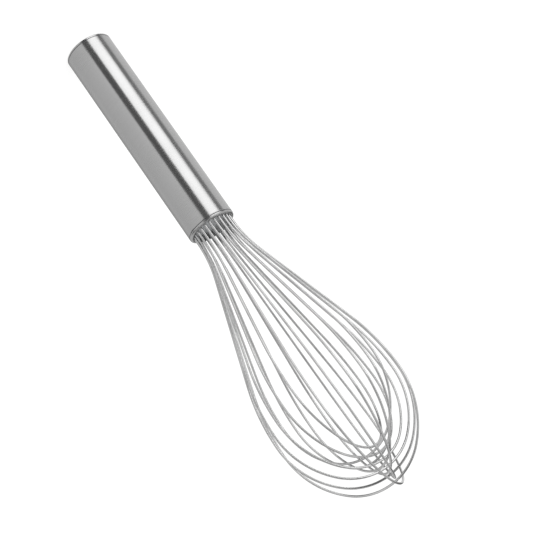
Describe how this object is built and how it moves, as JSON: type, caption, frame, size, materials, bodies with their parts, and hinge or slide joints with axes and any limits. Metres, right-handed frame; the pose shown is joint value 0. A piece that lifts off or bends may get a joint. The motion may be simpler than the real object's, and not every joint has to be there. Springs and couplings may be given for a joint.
{
  "type": "balloon whisk",
  "caption": "Stainless steel balloon whisk: a plain round satin handle tube with nested spring-wire loops that cross at the tip, for whipping and mixing by hand.",
  "frame": {"origin": "centre of the flat butt face at the end of the handle", "axes": "+Z along the whisk's axis from the butt towards the tip of the balloon; +X and +Y pass midway between two wire legs at the mouth, and the loops cross 4 mm towards -X from the axis"},
  "size_m": [0.0785, 0.0793, 0.3049],
  "materials": {
    "handle_steel": "satin stainless steel, finely brushed round the tube",
    "wire_steel": "bright drawn stainless spring wire",
    "washer_steel": "plain rolled stainless strip",
    "seal_resin": "grey potting resin, cast",
    "plug_nylon": "natural nylon, moulded"
  },
  "bodies": {
    "root": {"handle_tube": "handle_steel", "end_cap": "handle_steel", "resin_seal": "seal_resin", "wire_plug": "plug_nylon", "retaining_washer": "washer_steel", "wire_loop_01": "wire_steel", "wire_loop_02": "wire_steel", "wire_loop_03": "wire_steel", "wire_loop_04": "wire_steel", "wire_loop_05": "wire_steel", "wire_loop_06": "wire_steel", "wire_loop_07": "wire_steel", "wire_loop_08": "wire_steel", "wire_loop_09": "wire_steel", "wire_loop_10": "wire_steel", "wire_loop_11": "wire_steel", "wire_loop_12": "wire_steel"}
  },
  "joints": []
}
